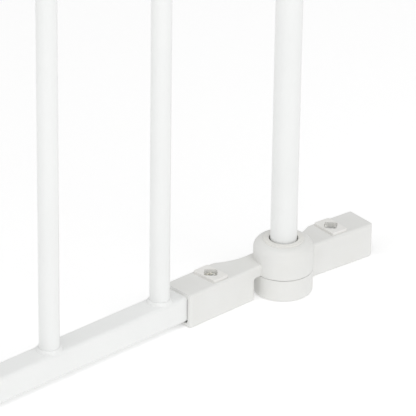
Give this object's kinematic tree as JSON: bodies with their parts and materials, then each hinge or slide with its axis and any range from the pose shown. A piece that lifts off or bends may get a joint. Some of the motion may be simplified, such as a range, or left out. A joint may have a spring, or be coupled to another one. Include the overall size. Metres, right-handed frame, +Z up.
{
  "type": "safety gate section",
  "caption": "Hinged section of a modular metal safety gate: welded panel of upright bars between square rails, with interlocking hinge arms on a round post at top and bottom.",
  "frame": {"origin": "on the hinge axis, at the underside of the lower free arm's ring", "axes": "+X along the panel towards its hinge end, +Z up, -Y the front of the panel, in whose face plane the hinge axis lies"},
  "size_m": [0.7385, 0.0334, 0.725],
  "materials": {
    "powder_coated_tube": "satin white powder coat on steel tube",
    "powder_coated_post": "satin white powder coat on round steel tube",
    "coated_weld": "powder coat over fillet weld",
    "moulded_arm": "fine matt moulded white plastic",
    "moulded_block": "smooth moulded white plastic",
    "moulded_bush": "smooth moulded white bearing plastic",
    "washer_plastic": "plain bearing plastic",
    "zinc_screw": "bright zinc plate",
    "steel_nut": "zinc plate"
  },
  "bodies": {
    "panel": {"bottom_rail": "powder_coated_tube", "top_rail": "powder_coated_tube", "bar_1": "powder_coated_tube", "bar_2": "powder_coated_tube", "bar_3": "powder_coated_tube", "bar_4": "powder_coated_tube", "bar_5": "powder_coated_tube", "bar_6": "powder_coated_tube", "bar_7": "powder_coated_tube", "bar_8": "powder_coated_tube", "bar_9": "powder_coated_tube", "bottom_weld_beads": "coated_weld", "top_weld_beads": "coated_weld", "bottom_panel_nut": "steel_nut", "top_panel_nut": "steel_nut", "bottom_far_nut": "steel_nut", "top_far_nut": "steel_nut", "bottom_panel_arm": "moulded_arm", "top_panel_arm": "moulded_arm", "bottom_panel_screw_block": "moulded_block", "top_panel_screw_block": "moulded_block", "bottom_panel_screw": "zinc_screw", "top_panel_screw": "zinc_screw", "bottom_post_bush": "moulded_bush", "top_post_bush": "moulded_bush"},
    "free_arms": {"hinge_post": "powder_coated_post", "bottom_free_arm": "moulded_arm", "top_free_arm": "moulded_arm", "bottom_free_screw_block": "moulded_block", "top_free_screw_block": "moulded_block", "bottom_thrust_washer": "washer_plastic", "top_thrust_washer": "washer_plastic"}
  },
  "joints": [
    {"name": "hinge_swing", "type": "hinge", "parent": "panel", "child": "free_arms", "pos_m": [0, 0, 0], "axis": [0, 0, 1], "range_deg": [-170, 100]}
  ]
}
